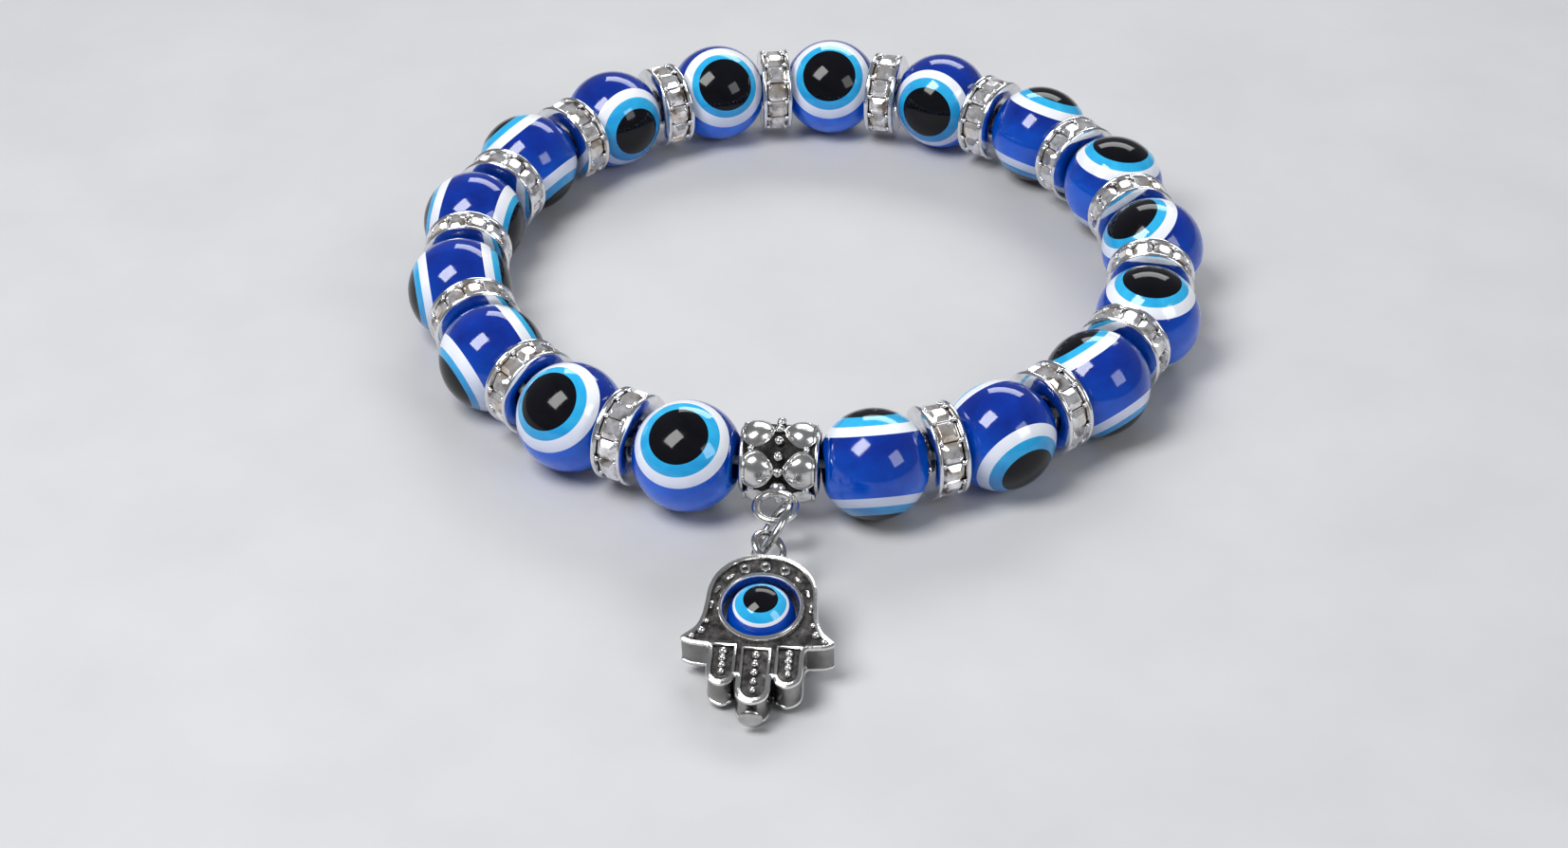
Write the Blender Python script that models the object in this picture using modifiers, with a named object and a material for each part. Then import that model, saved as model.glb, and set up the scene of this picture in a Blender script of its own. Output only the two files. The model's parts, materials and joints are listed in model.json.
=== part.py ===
"""Stretch bracelet of two-eyed glass-look beads and stone-set spacers, with a hamsa charm on a bail bead.

Axes: +Z up, the loop lies flat, the charm points to -Y. Each turned piece has its hole along its local Z.
"""

import math

import bmesh
import bpy
from mathutils import Matrix, Vector

MM = 0.001

# Loop of beads. A positive OVAL makes it deeper than it is wide, and 0 keeps it round
BEADS = 17
SIDE_SPACERS = 8
BEAD_R = 5.0
BEAD_BORE_R = 1.3
BEAD_FLAT_R = 2.07
BEAD_SEAT = 4.8
SPACER_LENGTH = 2.6
BAIL_LENGTH = 7.0
OVAL = 0.0
BEAD_STEPS = 16
BEAD_ARC_POINTS = 7
HEADING_SHIFT_LIMIT = 0.5
HEADING_SHIFT_HALVINGS = 60

# Spacer: a channelled ring and the stones set in its channel
RIM_R = 4.25
RIM_BORE_R = 1.75
HUB_R = 2.9
RIM_EDGE_HALF = 1.52
FLANGE = 0.45
RIM_STEPS = 16
STONES = 12
STONE_IN_R = 3.16
STONE_OUT_R = 4.06
STONE_WIDTH = 1.9

# Elastic cord
CORD_R = 0.4
CORD_BOW = 0.2
CORD_STATION = 4.1
CORD_STATION_BOW = 0.6
CORD_SPACER_BOW = 0.2
KNOT_SCALE = 2.2
KNOT_HALF = 0.9

# Bail bead and its loop
BAIL_BORE_R = 1.3
BAIL_END_R = 3.0
BAIL_SHOULDER_R = 3.7
BAIL_SHOULDER_IN = 0.8
BAIL_LOBE_R = 4.0
BAIL_LOBE_IN = 1.7
BAIL_WAIST_R = 3.75
BAIL_WAIST_HALF = 0.75
BAIL_STEPS = 20
LOOP_TILT = math.radians(10.0)
LOOP_REACH = 5.6
LOOP_R = 1.72
LOOP_WIRE_R = 0.375
LOOP_POINTS = 24

# Jump ring
RING_R = 2.8
RING_WIRE_R = 0.34
RING_POINTS = 28
RING_RISE = math.radians(15.0)
RING_TURN = math.radians(32.0)
HANG_GAP = 0.1

# Headpin
PIN_R = 0.32
EYE_R = 1.45
EYE_GAP = 0.35
EYE_OPEN = math.radians(24.0)
EYE_POINTS = 18
EYE_TAIL = 0.15
NECK = 0.5
PIN_HEAD_R = 1.0
PIN_HEAD_LENGTH = 0.6
PIN_HEAD_GAP = 0.15
PIN_HEAD_START = 0.1
# Head outline: (share of its length, share of its radius)
PIN_HEAD_OUTLINE = ((0.0, 0.85), (0.25, 1.0), (0.7, 0.8), (1.0, 0.35))

# Hamsa frame, measured from the centre of its round window; +V points to the loop
CHARM_TILT = math.radians(10.73)
FRAME_HALF = 1.6
FRAME_TOP = 5.8
FINGER_TIP = 10.0
WINDOW_R = 3.2
BEZEL_R = 3.75
BEZEL_HALF = 1.85
WINDOW_STEPS = 32
PIN_HOLE_R = 0.52
PIN_HOLE_STEPS = 12
CUT_OVERRUN = 2.5
EYE_BEAD_R = 2.9
EYE_BEAD_BORE_R = 0.5
EYE_BEAD_FLAT_R = 0.9
EYE_BEAD_STEPS = 20
EYE_BEAD_ARC_POINTS = 9
FRAME_HALF_OUTLINE = (
    (0.0, FRAME_TOP),
    (1.5, 5.6),
    (2.9, 4.85),
    (4.0, 3.6),
    (4.55, 2.1),
    (4.7, 0.4),
    (4.85, -1.0),
    (5.3, -2.3),
    (6.4, -3.5),
    (5.7, -4.05),
    (4.7, -4.2),
    (4.0, -4.5),
    (3.95, -6.9),
    (3.6, -7.8),
    (2.7, -8.25),
    (1.85, -7.85),
    (1.5, -7.2),
    (1.45, -8.4),
    (1.1, -9.5),
    (0.0, -FINGER_TIP),
)

X = Vector((1.0, 0.0, 0.0))
Z = Vector((0.0, 0.0, 1.0))


def clear_scene():
    for obj in list(bpy.data.objects):
        bpy.data.objects.remove(obj, do_unlink=True)


def make_collection(name):
    found = bpy.data.collections.new(name)
    bpy.context.scene.collection.children.link(found)
    return found


def material(name, colour, roughness, metallic):
    mat = bpy.data.materials.new(name)
    mat.use_nodes = True
    shader = mat.node_tree.nodes["Principled BSDF"]
    shader.inputs["Base Color"].default_value = (*colour, 1.0)
    shader.inputs["Roughness"].default_value = roughness
    shader.inputs["Metallic"].default_value = metallic
    mat.diffuse_color = (*colour, 1.0)
    return mat


def frame_of(origin, z_axis, x_axis):
    """World matrix with its Z along z_axis and its X as near to x_axis as that allows."""
    z = z_axis.normalized()
    y = z.cross(x_axis).normalized()
    x = y.cross(z)
    turn = Matrix((x, y, z)).transposed().to_4x4()
    return Matrix.Translation(origin * MM) @ turn


def link_mesh(name, mesh, matrix, mat, group):
    obj = bpy.data.objects.new(name, mesh)
    group.objects.link(obj)
    obj.matrix_world = matrix
    if mat is not None:
        mesh.materials.clear()
        mesh.materials.append(mat)
    return obj


def closed_profile(name, points):
    """Closed outline in the XZ plane at +X, running down its outer side."""
    mesh = bpy.data.meshes.new(name)
    bm = bmesh.new()
    verts = [bm.verts.new((r * MM, 0.0, z * MM)) for r, z in points]
    for here, there in zip(verts, verts[1:] + verts[:1]):
        bm.edges.new((here, there))
    bm.to_mesh(mesh)
    bm.free()
    return mesh


def add_screw(obj, steps):
    screw = obj.modifiers.new("Turn", "SCREW")
    screw.axis = "Z"
    screw.angle = 2 * math.pi
    screw.steps = steps
    screw.render_steps = steps
    screw.use_merge_vertices = True
    screw.merge_threshold = 0.000001


def turned(name, points, steps, matrix, mat, group):
    obj = link_mesh(name, closed_profile(name, points), matrix, mat, group)
    add_screw(obj, steps)
    return obj


def as_mesh(obj, name, mat, group):
    """Replaces an object by a mesh object of its evaluated shape, welded, in the same place."""
    bpy.context.view_layer.update()
    graph = bpy.context.evaluated_depsgraph_get()
    mesh = bpy.data.meshes.new_from_object(obj.evaluated_get(graph), depsgraph=graph)
    matrix = obj.matrix_world.copy()
    bm = bmesh.new()
    bm.from_mesh(mesh)
    bmesh.ops.remove_doubles(bm, verts=bm.verts, dist=0.000001)
    bmesh.ops.recalc_face_normals(bm, faces=bm.faces)
    bm.to_mesh(mesh)
    bm.free()
    bpy.data.objects.remove(obj, do_unlink=True)
    return link_mesh(name, mesh, matrix, mat, group)


def smooth(obj, angle=35.0):
    mesh = obj.data
    mesh.shade_smooth()
    mesh.set_sharp_from_angle(angle=math.radians(angle))


def boolean(obj, other, operation):
    mod = obj.modifiers.new("Join" if operation == "UNION" else "Cut", "BOOLEAN")
    mod.operation = operation
    mod.solver = "EXACT"
    mod.object = other


def turn_sum(shift, count, pitch, front, total):
    """How far the end of one side lies from the centre line, for a shift of the heading."""
    reach = front / 2
    for k in range(count):
        reach += pitch * math.cos(heading(k, pitch, front, total, shift))
    return reach


def heading(k, pitch, front, total, shift):
    phase = 2 * math.pi * (front / 2 + (k + 0.5) * pitch) / total
    return phase + OVAL * math.sin(2 * phase) + shift * math.sin(phase)


def left_side():
    """Bead centres 1 to 9 and the headings of spacers 1 to 8, from the front round the left side."""
    pitch = 2 * BEAD_SEAT + SPACER_LENGTH
    front = 2 * BEAD_SEAT + BAIL_LENGTH
    total = 2 * SIDE_SPACERS * pitch + front
    low, high = -HEADING_SHIFT_LIMIT, HEADING_SHIFT_LIMIT
    for _ in range(HEADING_SHIFT_HALVINGS):
        middle = (low + high) / 2
        if turn_sum(middle, SIDE_SPACERS, pitch, front, total) > 0:
            low = middle
        else:
            high = middle
    points = [Vector((-front / 2, 0.0, 0.0))]
    headings = []
    for k in range(SIDE_SPACERS):
        turn = heading(k, pitch, front, total, low)
        headings.append(turn)
        points.append(points[-1] + pitch * Vector((-math.cos(turn), math.sin(turn), 0.0)))
    return points, headings


def charm_layout(depth):
    """Joint points and directions of the bail loop, jump ring, headpin and charm, in millimetres."""
    cord = Vector((0.0, -depth / 2, BEAD_R))
    out = Vector((0.0, -math.cos(LOOP_TILT), -math.sin(LOOP_TILT)))
    loop = cord + LOOP_REACH * out
    tip = loop + LOOP_R * out
    pull = Vector((0.0, -math.cos(RING_RISE), math.sin(RING_RISE)))
    side = math.sin(RING_TURN) * X - math.cos(RING_TURN) * X.cross(pull)
    ring = tip + (RING_R - LOOP_WIRE_R - RING_WIRE_R - HANG_GAP) * pull
    hook = ring + RING_R * pull
    down = Vector((0.0, -math.cos(CHARM_TILT), -math.sin(CHARM_TILT)))
    across = side.cross(down).normalized()
    eye = hook + (EYE_R - RING_WIRE_R - PIN_R - EYE_GAP) * down
    top = eye + (EYE_R + NECK) * down
    middle = top + FRAME_TOP * down
    return {
        "cord": cord,
        "out": out,
        "loop": loop,
        "tip": tip,
        "pull": pull,
        "side": side,
        "ring": ring,
        "hook": hook,
        "down": down,
        "across": across,
        "eye": eye,
        "middle": middle,
    }


def front_edge(plan):
    """Y of the foremost point: the tip of the frame or the head of the pin."""
    tip = plan["middle"] + FINGER_TIP * plan["down"]
    pin = tip + (PIN_HEAD_GAP + PIN_HEAD_LENGTH) * plan["down"]
    return min(tip.y - FRAME_HALF * math.sin(CHARM_TILT), pin.y)


def loop_layout():
    """Bead centres, hole directions, spacer centres and directions, with the box centred on the origin."""
    points, headings = left_side()
    depth = points[-1].y - points[0].y
    plan = charm_layout(depth)
    shift = Vector((0.0, -(front_edge(plan) + depth / 2 + BEAD_R) / 2, 0.0))
    base = Vector((0.0, -depth / 2, BEAD_R)) + shift
    left = [base + p for p in points]
    for key in ("cord", "loop", "tip", "ring", "hook", "eye", "middle"):
        plan[key] = plan[key] + shift
    forward = [Vector((-math.cos(h), math.sin(h), 0.0)) for h in headings]
    beads = left + [Vector((-p.x, p.y, p.z)) for p in reversed(left[:-1])]
    runs = forward + [Vector((f.x, -f.y, 0.0)) for f in reversed(forward)]
    spacers = [(a + b) / 2 for a, b in zip(beads, beads[1:])]
    entries = [Vector((-1.0, 0.0, 0.0))] + runs
    exits = runs + [Vector((-1.0, 0.0, 0.0))]
    holes = [(a + b).normalized() for a, b in zip(entries, exits)]
    return beads, holes, spacers, runs, plan


def sphere_profile(radius, flat_r, bore_r, count):
    flat = math.sqrt(radius * radius - flat_r * flat_r)
    start = math.asin(flat / radius)
    points = [(bore_r, flat)]
    for i in range(count):
        angle = start - 2 * start * i / (count - 1)
        points.append((radius * math.cos(angle), radius * math.sin(angle)))
    points.append((bore_r, -flat))
    return points


def build_bead(number, centre, hole, mat, group):
    profile = sphere_profile(BEAD_R, BEAD_FLAT_R, BEAD_BORE_R, BEAD_ARC_POINTS)
    bead = turned(f"bead_{number:02d}", profile, BEAD_STEPS, frame_of(centre, hole, -Z), mat, group)
    smooth(bead)
    return bead


def build_spacer_rim(number, centre, run, mat, group):
    """Channel section, with flanges that lean out towards the beads."""
    half = SPACER_LENGTH / 2
    inner = RIM_EDGE_HALF - FLANGE
    profile = [
        (RIM_BORE_R, half),
        (RIM_R, RIM_EDGE_HALF),
        (RIM_R, inner),
        (HUB_R, inner),
        (HUB_R, -inner),
        (RIM_R, -inner),
        (RIM_R, -RIM_EDGE_HALF),
        (RIM_BORE_R, -half),
    ]
    name = f"spacer_{number:02d}_rim"
    return turned(name, profile, RIM_STEPS, frame_of(centre, run, -Z), mat, group)


def build_spacer_stones(number, centre, run, mat, group):
    half = STONE_WIDTH / 2
    profile = [
        (STONE_IN_R, half),
        (STONE_OUT_R, half),
        (STONE_OUT_R, -half),
        (STONE_IN_R, -half),
    ]
    name = f"spacer_{number:02d}_stones"
    return turned(name, profile, STONES, frame_of(centre, run, -Z), mat, group)


def cord_path(beads, holes, spacers, ring_centre):
    path = []
    for k, (bead, hole) in enumerate(zip(beads, holes)):
        inward = hole.cross(Z).normalized()
        if inward.dot(ring_centre - bead) < 0:
            inward = -inward
        path.append((bead - CORD_STATION * hole + CORD_STATION_BOW * inward, 1.0))
        path.append((bead + CORD_BOW * inward, 1.0))
        path.append((bead + CORD_STATION * hole + CORD_STATION_BOW * inward, 1.0))
        if k < len(spacers):
            outward = (spacers[k] - ring_centre).normalized()
            path.append((spacers[k] + CORD_SPACER_BOW * outward, 1.0))
    return path


def build_cord(beads, holes, spacers, cord, mat, group):
    centre = (beads[0] + beads[len(beads) // 2]) / 2
    path = cord_path(beads, holes, spacers, Vector((0.0, centre.y, BEAD_R)))
    for share, scale in ((1.0, 1.0), (0.5, KNOT_SCALE), (-0.5, KNOT_SCALE), (-1.0, 1.0)):
        path.append((cord + share * KNOT_HALF * X, scale))
    return wire("elastic_cord", path, CORD_R, True, mat, group)


def wire(name, path, radius, cyclic, mat, group):
    """Round wire along (point, radius scale) pairs, as one welded mesh."""
    curve = bpy.data.curves.new(name, "CURVE")
    curve.dimensions = "3D"
    curve.bevel_depth = radius * MM
    curve.bevel_resolution = 2
    curve.use_fill_caps = not cyclic
    spline = curve.splines.new("POLY")
    spline.points.add(len(path) - 1)
    for point, (place, scale) in zip(spline.points, path):
        point.co = (*(place * MM), 1.0)
        point.radius = scale
    spline.use_cyclic_u = cyclic
    obj = bpy.data.objects.new(name + "_curve", curve)
    group.objects.link(obj)
    made = as_mesh(obj, name, mat, group)
    smooth(made)
    return made


def circle_path(centre, u, v, radius, count):
    path = []
    for i in range(count):
        angle = 2 * math.pi * i / count
        path.append((centre + radius * (math.cos(angle) * u + math.sin(angle) * v), 1.0))
    return path


def build_bail(plan, mat, group, cutters):
    half = BAIL_LENGTH / 2
    profile = [
        (BAIL_BORE_R, half),
        (BAIL_END_R, half),
        (BAIL_SHOULDER_R, half - BAIL_SHOULDER_IN),
        (BAIL_LOBE_R, half - BAIL_LOBE_IN),
        (BAIL_WAIST_R, BAIL_WAIST_HALF),
        (BAIL_WAIST_R, -BAIL_WAIST_HALF),
        (BAIL_LOBE_R, -half + BAIL_LOBE_IN),
        (BAIL_SHOULDER_R, -half + BAIL_SHOULDER_IN),
        (BAIL_END_R, -half),
        (BAIL_BORE_R, -half),
    ]
    body = turned("bail_body", profile, BAIL_STEPS, frame_of(plan["cord"], X, -Z), mat, cutters)
    body = as_mesh(body, "bail", mat, group)
    path = circle_path(plan["loop"], X, plan["out"], LOOP_R, LOOP_POINTS)
    loop = wire("bail_loop", path, LOOP_WIRE_R, True, mat, cutters)
    boolean(body, loop, "UNION")
    smooth(body)
    return body


def build_jump_ring(plan, mat, group):
    path = circle_path(plan["ring"], plan["pull"], plan["side"], RING_R, RING_POINTS)
    return wire("jump_ring", path, RING_WIRE_R, True, mat, group)


def build_headpin(plan, mat, group):
    """Eye loop, straight shaft through the frame and the bead, and a domed head."""
    eye, down, across = plan["eye"], plan["down"], plan["across"]
    path = []
    for i in range(EYE_POINTS):
        angle = EYE_OPEN + (2 * math.pi - 2 * EYE_OPEN) * i / (EYE_POINTS - 1)
        path.append((eye + EYE_R * (math.cos(angle) * down + math.sin(angle) * across), 1.0))
    path.append((eye + (EYE_R + EYE_TAIL) * down, 1.0))
    foot = plan["middle"] + (FINGER_TIP + PIN_HEAD_GAP) * down
    path.append((foot - PIN_HEAD_START * down, 1.0))
    for length_share, radius_share in PIN_HEAD_OUTLINE:
        path.append((foot + length_share * PIN_HEAD_LENGTH * down, radius_share * PIN_HEAD_R / PIN_R))
    return wire("headpin", path, PIN_R, False, mat, group)


def charm_matrix(plan):
    """Charm axes: X across, Y to the loop, Z out of its face."""
    up = -plan["down"]
    face = X.cross(up)
    turn = Matrix((X, up, face)).transposed().to_4x4()
    return Matrix.Translation(plan["middle"] * MM) @ turn


def add_outline(curve, points):
    spline = curve.splines.new("POLY")
    spline.points.add(len(points) - 1)
    for point, (u, v) in zip(spline.points, points):
        point.co = (u * MM, v * MM, 0.0, 1.0)
    spline.use_cyclic_u = True


def round_cutter(name, radius, length, matrix, steps, cutters):
    bm = bmesh.new()
    bmesh.ops.create_cone(
        bm, cap_ends=True, segments=steps, radius1=radius * MM, radius2=radius * MM, depth=length * MM
    )
    mesh = bpy.data.meshes.new(name)
    bm.to_mesh(mesh)
    bm.free()
    return link_mesh(name, mesh, matrix, None, cutters)


def build_frame(plan, mat, group, cutters):
    curve = bpy.data.curves.new("hamsa_outline", "CURVE")
    curve.dimensions = "2D"
    curve.fill_mode = "BOTH"
    curve.extrude = FRAME_HALF * MM
    half = list(FRAME_HALF_OUTLINE)
    add_outline(curve, half + [(-u, v) for u, v in reversed(half[1:-1])])
    obj = bpy.data.objects.new("hamsa_outline", curve)
    group.objects.link(obj)
    matrix = charm_matrix(plan)
    obj.matrix_world = matrix
    frame = as_mesh(obj, "hamsa_frame", mat, group)
    bezel = round_cutter("bezel_blank", BEZEL_R, 2 * BEZEL_HALF, matrix, WINDOW_STEPS, cutters)
    window = round_cutter("window_cut", WINDOW_R, CUT_OVERRUN * BEZEL_HALF, matrix, WINDOW_STEPS, cutters)
    along = matrix @ Matrix.Rotation(math.pi / 2, 4, "X")
    drill = round_cutter("pin_drill", PIN_HOLE_R, CUT_OVERRUN * FINGER_TIP, along, PIN_HOLE_STEPS, cutters)
    boolean(frame, bezel, "UNION")
    boolean(frame, window, "DIFFERENCE")
    boolean(frame, drill, "DIFFERENCE")
    return frame


def build_eye_bead(plan, mat, group):
    profile = sphere_profile(EYE_BEAD_R, EYE_BEAD_FLAT_R, EYE_BEAD_BORE_R, EYE_BEAD_ARC_POINTS)
    matrix = frame_of(plan["middle"], -plan["down"], X)
    bead = turned("charm_eye_bead", profile, EYE_BEAD_STEPS, matrix, mat, group)
    smooth(bead)
    return bead


def build_loop(beads, holes, spacers, runs, mats, group):
    for k, (centre, hole) in enumerate(zip(beads, holes)):
        build_bead(k + 1, centre, hole, mats["blue"], group)
    for k, (centre, run) in enumerate(zip(spacers, runs)):
        build_spacer_rim(k + 1, centre, run, mats["silver"], group)
        build_spacer_stones(k + 1, centre, run, mats["clear"], group)


def build_charm(plan, mats, group, cutters):
    build_bail(plan, mats["antique"], group, cutters)
    build_jump_ring(plan, mats["wire"], group)
    build_headpin(plan, mats["wire"], group)
    build_frame(plan, mats["antique"], group, cutters)
    build_eye_bead(plan, mats["blue"], group)


def make_materials():
    return {
        "blue": material("cobalt_resin", (0.01, 0.05, 0.45), 0.1, 0.0),
        "silver": material("plated_silver", (0.85, 0.85, 0.87), 0.12, 1.0),
        "clear": material("cut_stone", (0.8, 0.84, 0.9), 0.05, 0.0),
        "antique": material("antique_silver", (0.55, 0.54, 0.52), 0.3, 1.0),
        "wire": material("wire_silver", (0.75, 0.75, 0.76), 0.2, 1.0),
        "elastic": material("clear_elastic", (0.8, 0.85, 0.88), 0.3, 0.0),
    }


def main():
    clear_scene()
    group = make_collection("evil_eye_bracelet")
    cutters = make_collection("cutters")
    mats = make_materials()
    beads, holes, spacers, runs, plan = loop_layout()
    build_loop(beads, holes, spacers, runs, mats, group)
    build_cord(beads, holes, spacers, plan["cord"], mats["elastic"], group)
    build_charm(plan, mats, group, cutters)
    for obj in cutters.objects:
        obj.hide_render = True
        obj.display_type = "WIRE"
    cutters.hide_render = True


main()
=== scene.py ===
import json
import math
import random

import bmesh
import bpy
from mathutils import Matrix, Vector


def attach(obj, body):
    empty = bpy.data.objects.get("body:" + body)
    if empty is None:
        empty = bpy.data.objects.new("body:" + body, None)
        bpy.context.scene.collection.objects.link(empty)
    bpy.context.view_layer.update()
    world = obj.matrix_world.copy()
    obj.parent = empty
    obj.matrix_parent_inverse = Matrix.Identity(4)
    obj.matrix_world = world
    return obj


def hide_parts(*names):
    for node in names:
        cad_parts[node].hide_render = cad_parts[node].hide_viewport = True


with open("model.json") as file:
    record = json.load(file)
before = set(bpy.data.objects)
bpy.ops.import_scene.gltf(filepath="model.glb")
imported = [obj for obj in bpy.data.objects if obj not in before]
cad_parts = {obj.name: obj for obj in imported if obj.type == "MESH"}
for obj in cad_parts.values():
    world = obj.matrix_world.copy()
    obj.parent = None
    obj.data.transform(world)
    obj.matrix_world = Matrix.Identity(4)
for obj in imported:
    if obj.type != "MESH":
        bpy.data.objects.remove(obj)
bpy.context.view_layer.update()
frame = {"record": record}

MM = 0.001
TAU = 2 * math.pi
X = Vector((1.0, 0.0, 0.0))
Y = Vector((0.0, 1.0, 0.0))
Z = Vector((0.0, 0.0, 1.0))
JOINTS = {j["name"]: j for j in frame["record"]["behaviour"]["joints"]}
BEADS = 17

# Eye direction of each bead: degrees from straight up towards the outside of the loop
EYE_TURN = (31, 40, 108, 95, 84, 50, -84, -50, -45, -79, 26, 8, -32, 2, -42, 105, -34)

# Lengths are in millimetres. Layer edges are fractions of the ball's radius along the eye axis.
BEAD_R = 5.0
BEAD_BORE_R = 1.3
BEAD_FLAT = 4.55
LAYERS = (0.535, 0.715, 0.84)
LAYER_PLAY = (0.02, 0.015, 0.025)
BALL_STEPS = 56
WIRE_SIDES = 14


# ---------------------------------------------------------------- mesh helpers


def joint_pos(name):
    return Vector(JOINTS[name]["pos_m"]) / MM


def joint_axis(name):
    return Vector(JOINTS[name]["axis"])


def frame_of(origin, z_axis, x_axis):
    z = z_axis.normalized()
    y = z.cross(x_axis).normalized()
    x = y.cross(z)
    turn = Matrix((x, y, z)).transposed().to_4x4()
    return Matrix.Translation(origin * MM) @ turn


def finish_piece(name, bm, matrix, mats, body, node, angle=35.0, smooth=True):
    mesh = bpy.data.meshes.new(name)
    bmesh.ops.recalc_face_normals(bm, faces=bm.faces)
    bm.to_mesh(mesh)
    bm.free()
    mesh.transform(Matrix.Scale(MM, 4))
    obj = bpy.data.objects.new(name, mesh)
    bpy.context.scene.collection.objects.link(obj)
    obj.matrix_world = matrix
    for mat in mats:
        mesh.materials.append(mat)
    if smooth:
        mesh.shade_smooth()
        mesh.set_sharp_from_angle(angle=math.radians(angle))
    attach(obj, body)
    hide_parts(node)


def lathe(bm, profile, steps, mat=0):
    """Turns a closed outline of (r, z) points about Z into a ring."""
    rings = []
    for r, z in profile:
        angles = (TAU * i / steps for i in range(steps))
        rings.append([bm.verts.new((r * math.cos(a), r * math.sin(a), z)) for a in angles])
    for upper, lower in zip(rings, rings[1:] + rings[:1]):
        for i in range(steps):
            j = (i + 1) % steps
            bm.faces.new((upper[i], lower[i], lower[j], upper[j])).material_index = mat


def tube(bm, path, radius, sides=10, cyclic=False):
    """Round wire along points. The radius may be a list, one for each point."""
    count = len(path)
    radii = radius if isinstance(radius, list) else [radius] * count
    normal = None
    rings = []
    for i, here in enumerate(path):
        before = path[i - 1] if (i > 0 or cyclic) else here
        after = path[(i + 1) % count] if (i < count - 1 or cyclic) else here
        along = (after - before).normalized()
        if normal is None:
            guess = Z if abs(along.z) < 0.9 else X
            normal = along.cross(guess).normalized()
        else:
            normal = (normal - along * normal.dot(along)).normalized()
        other = along.cross(normal)
        ring = []
        for k in range(sides):
            a = TAU * k / sides
            ring.append(bm.verts.new(here + radii[i] * (math.cos(a) * normal + math.sin(a) * other)))
        rings.append(ring)
    spans = list(zip(rings, rings[1:] + rings[:1])) if cyclic else list(zip(rings, rings[1:]))
    for a_ring, b_ring in spans:
        for k in range(sides):
            m = (k + 1) % sides
            bm.faces.new((a_ring[k], b_ring[k], b_ring[m], a_ring[m]))
    if not cyclic:
        bm.faces.new(rings[0])
        bm.faces.new(list(reversed(rings[-1])))


def ball(bm, centre, size, u, v, turn=None):
    """Ellipsoid with the given half sizes."""
    matrix = Matrix.Translation(centre)
    if turn is not None:
        matrix = matrix @ turn
    matrix = matrix @ Matrix.Diagonal((*size, 1.0))
    bmesh.ops.create_uvsphere(bm, u_segments=u, v_segments=v, radius=1.0, matrix=matrix)


def pip(bm, centre, radius, u=12, v=8):
    ball(bm, centre, (radius, radius, radius), u, v)


def around(radius, angle, height=0.0):
    """Point at this radius and angle about Z."""
    return Vector((radius * math.cos(angle), radius * math.sin(angle), height))


def catmull_rom(p0, p1, p2, p3, t):
    linear = (p2 - p0) * t
    square = (2 * p0 - 5 * p1 + 4 * p2 - p3) * t * t
    cube = (3 * p1 - p0 - 3 * p2 + p3) * t * t * t
    return 0.5 * (2 * p1 + linear + square + cube)


def smooth_path(points, per, cyclic=True):
    """Curve through the points, with this many steps from each one to the next."""
    count = len(points)
    out = []
    for i in range(count if cyclic else count - 1):
        if cyclic:
            near = [points[(i + d) % count] for d in (-1, 0, 1, 2)]
        else:
            near = [points[min(max(i + d, 0), count - 1)] for d in (-1, 0, 1, 2)]
        out += [catmull_rom(*near, k / per) for k in range(per)]
    if not cyclic:
        out.append(points[-1])
    return out


# ---------------------------------------------------------------- materials


class Nodes:
    def __init__(self, name):
        self.mat = bpy.data.materials.new(name)
        self.mat.use_nodes = True
        self.tree = self.mat.node_tree
        self.shader = self.tree.nodes["Principled BSDF"]
        self.coord = self.add("ShaderNodeTexCoord").outputs["Object"]

    def add(self, kind, **props):
        node = self.tree.nodes.new(kind)
        for key, value in props.items():
            setattr(node, key, value)
        return node

    def link(self, a, b):
        self.tree.links.new(a, b)

    def set(self, **values):
        for key, value in values.items():
            self.shader.inputs[key.replace("_", " ")].default_value = value

    def noise(self, scale, detail=4.0, rough=0.55, distortion=0.0):
        node = self.add("ShaderNodeTexNoise")
        node.inputs["Scale"].default_value = scale
        node.inputs["Detail"].default_value = detail
        node.inputs["Roughness"].default_value = rough
        node.inputs["Distortion"].default_value = distortion
        self.link(self.coord, node.inputs["Vector"])
        return node.outputs["Fac"]

    def ramp(self, factor, stops):
        node = self.add("ShaderNodeValToRGB")
        ramp = node.color_ramp
        while len(ramp.elements) < len(stops):
            ramp.elements.new(0.5)
        for element, (place, colour) in zip(ramp.elements, stops):
            element.position = place
            element.color = (*colour, 1.0)
        self.link(factor, node.inputs["Fac"])
        return node.outputs["Color"]

    def mix(self, factor, a, b):
        node = self.add("ShaderNodeMix", data_type="RGBA", blend_type="MIX")
        if isinstance(factor, float):
            node.inputs["Factor"].default_value = factor
        else:
            self.link(factor, node.inputs["Factor"])
        first, second = node.inputs[6], node.inputs[7]
        for socket, value in ((first, a), (second, b)):
            if isinstance(value, tuple):
                socket.default_value = (*value, 1.0)
            else:
                self.link(value, socket)
        return node.outputs[2]

    def span(self, factor, low, high, from_low=0.0, from_high=1.0):
        node = self.add("ShaderNodeMapRange")
        node.inputs["From Min"].default_value = from_low
        node.inputs["From Max"].default_value = from_high
        node.inputs["To Min"].default_value = low
        node.inputs["To Max"].default_value = high
        self.link(factor, node.inputs["Value"])
        return node.outputs["Result"]

    def bump(self, height, strength, distance):
        node = self.add("ShaderNodeBump")
        node.inputs["Strength"].default_value = strength
        node.inputs["Distance"].default_value = distance
        self.link(height, node.inputs["Height"])
        self.link(node.outputs["Normal"], self.shader.inputs["Normal"])

    def colour(self, out):
        self.link(out, self.shader.inputs["Base Color"])

    def rough(self, out):
        self.link(out, self.shader.inputs["Roughness"])


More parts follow.
